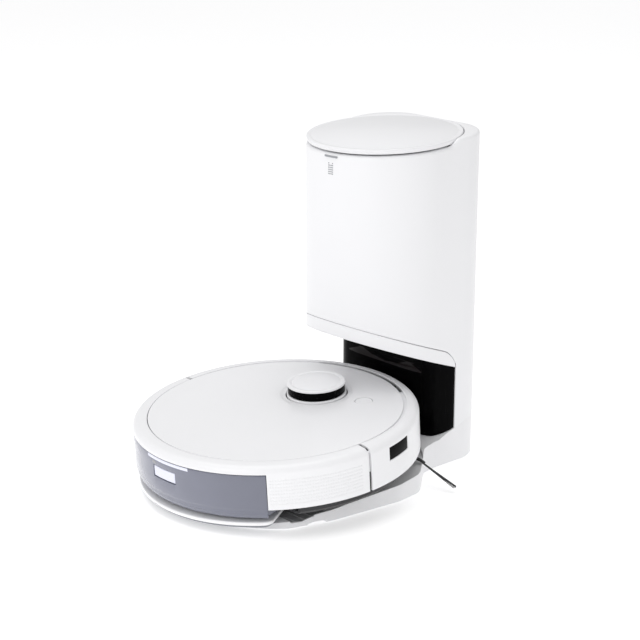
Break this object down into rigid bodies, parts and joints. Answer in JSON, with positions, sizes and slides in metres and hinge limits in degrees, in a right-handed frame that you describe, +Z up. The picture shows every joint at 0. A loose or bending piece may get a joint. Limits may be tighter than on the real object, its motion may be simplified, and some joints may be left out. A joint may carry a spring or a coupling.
{
  "type": "robot vacuum",
  "caption": "round robot vacuum and mop docked on its self-emptying station, with sprung bumper, laser turret, driven wheels, brushes, slide-out water tank and hinged dust-bag lid",
  "frame": {"origin": "middle of the docked pair's bounding box on the floor it stands on", "axes": "+X to the robot's right, +Y from the robot's tail to the station's back, +Z up"},
  "size_m": [0.352, 0.4562, 0.4252],
  "materials": {
    "white_shell": "smooth white moulded plastic, satin gloss",
    "black_gloss": "high-gloss black plastic",
    "dark_plastic": "matte near-black plastic",
    "grey_plastic": "matte mid-grey plastic",
    "tank_plastic": "translucent smoky lavender plastic",
    "clear_plate": "bright clear-white plastic",
    "latch_white": "lavender-white plastic",
    "rubber_dark": "soft dark rubber",
    "tyre_rubber": "treaded rubber",
    "brush_fibre": "nylon bristle",
    "mop_cloth": "microfibre",
    "bag_paper": "non-woven bag",
    "collar_card": "plain board",
    "contact_metal": "plated contact",
    "pin_steel": "ground steel",
    "board_green": "solder mask",
    "battery_wrap": "shrink-wrapped cells",
    "filter_media": "pleated media",
    "lamp_grey": "frosted light bar",
    "ir_plastic": "infrared-pass window",
    "lid_white": "fine satin white"
  },
  "bodies": {
    "station": {"base_platform": "white_shell", "foot_front": "rubber_dark", "foot_rear": "rubber_dark", "inlet_seal": "rubber_dark", "wheel_track_left": "grey_plastic", "wheel_track_right": "grey_plastic", "tower_housing": "white_shell", "visor_band": "white_shell", "indicator_lamp": "lamp_grey", "power_inlet": "dark_plastic", "lid_hinge_pin": "pin_steel", "column_front": "black_gloss", "ir_window": "ir_plastic", "dust_bag": "bag_paper", "bag_collar": "collar_card", "suction_duct": "grey_plastic", "station_fan_housing": "grey_plastic"},
    "station_lid": {"lid": "lid_white"},
    "station_fan": {"station_impeller": "dark_plastic"},
    "charge_contact_left": {"charge_pin_left": "contact_metal"},
    "charge_contact_right": {"charge_pin_right": "contact_metal"},
    "robot": {"chassis": "dark_plastic", "rear_shell": "white_shell", "charge_plate_left": "contact_metal", "charge_plate_right": "contact_metal", "cover_hinge_pin": "pin_steel", "lds_housing": "white_shell", "brush_guard": "grey_plastic", "dust_bin": "dark_plastic", "dust_filter": "filter_media", "battery": "battery_wrap", "fan_housing": "grey_plastic", "main_board": "board_green"},
    "robot_cover": {"top_cover": "white_shell"},
    "bumper": {"front_bumper": "white_shell", "side_sensor_window": "black_gloss", "front_sensor_window": "black_gloss"},
    "laser_turret": {"lds_window": "black_gloss", "lds_cap": "white_shell"},
    "laser_rotor": {"lds_rotor": "dark_plastic"},
    "power_key": {"power_button": "white_shell"},
    "arm_left": {"wheel_arm_left": "dark_plastic"},
    "arm_right": {"wheel_arm_right": "dark_plastic"},
    "drive_wheel_left": {"wheel_hub_left": "grey_plastic", "tyre_left": "tyre_rubber"},
    "drive_wheel_right": {"wheel_hub_right": "grey_plastic", "tyre_right": "tyre_rubber"},
    "caster": {"caster_fork": "dark_plastic"},
    "caster_roller": {"caster_wheel": "grey_plastic"},
    "roller_brush": {"main_brush": "rubber_dark"},
    "edge_brush_left": {"side_brush_left": "dark_plastic", "side_bristles_left": "brush_fibre"},
    "edge_brush_right": {"side_brush_right": "dark_plastic", "side_bristles_right": "brush_fibre"},
    "robot_fan": {"fan_impeller": "dark_plastic"},
    "tank": {"water_tank": "tank_plastic"},
    "tank_plug": {"filler_plug": "rubber_dark"},
    "tank_latch": {"tank_release": "latch_white"},
    "mop": {"mop_plate": "clear_plate", "mop_pad": "mop_cloth"}
  },
  "joints": [
    {"name": "lid_hinge", "type": "hinge", "parent": "station", "child": "station_lid", "pos_m": [0, 0.21691, 0.42169], "axis": [-1, 0, 0], "range_deg": [0, 78]},
    {"name": "station_fan_spin", "type": "hinge", "parent": "station", "child": "station_fan", "pos_m": [0, 0.10037, 0.192], "axis": [0, 0, 1], "continuous": true},
    {"name": "charge_contact_left_press", "type": "slide", "parent": "station", "child": "charge_contact_left", "axis": [0, 0, -1], "range_m": [0, 0.003], "stiffness_N_per_m": 300},
    {"name": "charge_contact_right_press", "type": "slide", "parent": "station", "child": "charge_contact_right", "axis": [0, 0, -1], "range_m": [0, 0.003], "stiffness_N_per_m": 300},
    {"name": "robot_undock", "type": "slide", "parent": "station", "child": "robot", "axis": [0, -1, 0], "range_m": [0, 0.45]},
    {"name": "cover_hinge", "type": "hinge", "parent": "robot", "child": "robot_cover", "pos_m": [0, 0.09168, 0.10593], "axis": [-1, 0, 0], "range_deg": [0, 42]},
    {"name": "bumper_press", "type": "slide", "parent": "robot", "child": "bumper", "axis": [0, -0.9976, -0.0698], "range_m": [0, 0.0025], "stiffness_N_per_m": 400},
    {"name": "turret_press", "type": "slide", "parent": "robot", "child": "laser_turret", "axis": [0, 0.0698, -0.9976], "range_m": [0, 0.001], "stiffness_N_per_m": 600},
    {"name": "rotor_spin", "type": "hinge", "parent": "robot", "child": "laser_rotor", "pos_m": [0, 0.01672, 0.07412], "axis": [0, -0.0698, 0.9976], "continuous": true},
    {"name": "power_button_press", "type": "slide", "parent": "robot", "child": "power_key", "axis": [0, 0.0698, -0.9976], "range_m": [0, 0.0008], "stiffness_N_per_m": 600},
    {"name": "wheel_arm_left_swing", "type": "hinge", "parent": "robot", "child": "arm_left", "pos_m": [-0.09, -0.00611, 0.05649], "axis": [-1, 0, 0], "range_deg": [0, 9], "stiffness_Nm_per_rad": 5},
    {"name": "wheel_left_spin", "type": "hinge", "parent": "arm_left", "child": "drive_wheel_left", "pos_m": [-0.112, -0.05, 0.05342], "axis": [1, 0, 0], "continuous": true},
    {"name": "wheel_arm_right_swing", "type": "hinge", "parent": "robot", "child": "arm_right", "pos_m": [0.09, -0.00611, 0.05649], "axis": [-1, 0, 0], "range_deg": [0, 9], "stiffness_Nm_per_rad": 5},
    {"name": "wheel_right_spin", "type": "hinge", "parent": "arm_right", "child": "drive_wheel_right", "pos_m": [0.112, -0.05, 0.05342], "axis": [1, 0, 0], "continuous": true},
    {"name": "caster_swivel", "type": "hinge", "parent": "robot", "child": "caster", "pos_m": [0, 0.06925, 0.0397], "axis": [0, -0.0698, 0.9976], "continuous": true},
    {"name": "caster_roll", "type": "hinge", "parent": "caster", "child": "caster_roller", "pos_m": [0, 0.06333, 0.03829], "axis": [1, 0, 0], "continuous": true},
    {"name": "main_brush_spin", "type": "hinge", "parent": "robot", "child": "roller_brush", "pos_m": [0, 0.00295, 0.04158], "axis": [1, 0, 0], "continuous": true},
    {"name": "side_brush_left_spin", "type": "hinge", "parent": "robot", "child": "edge_brush_left", "pos_m": [-0.098, 0.07374, 0.0328], "axis": [0, -0.0698, 0.9976], "continuous": true, "deforming": ["side_bristles_left"]},
    {"name": "side_brush_right_spin", "type": "hinge", "parent": "robot", "child": "edge_brush_right", "pos_m": [0.098, 0.07374, 0.0328], "axis": [0, -0.0698, 0.9976], "continuous": true, "deforming": ["side_bristles_right"]},
    {"name": "fan_spin", "type": "hinge", "parent": "robot", "child": "robot_fan", "pos_m": [0.062, -0.09221, 0.05498], "axis": [0, -0.0698, 0.9976], "continuous": true},
    {"name": "tank_slide", "type": "slide", "parent": "robot", "child": "tank", "axis": [0, -0.9976, -0.0698], "range_m": [0, 0.06]},
    {"name": "filler_plug_pull", "type": "slide", "parent": "tank", "child": "tank_plug", "axis": [-0.5592, -0.827, -0.0578], "range_m": [0, 0.01]},
    {"name": "tank_release_press", "type": "slide", "parent": "tank", "child": "tank_latch", "axis": [0, 0.9976, 0.0698], "range_m": [0, 0.002], "stiffness_N_per_m": 500},
    {"name": "mop_slide", "type": "slide", "parent": "tank", "child": "mop", "axis": [0, -0.9976, -0.0698], "range_m": [0, 0.04]}
  ]
}
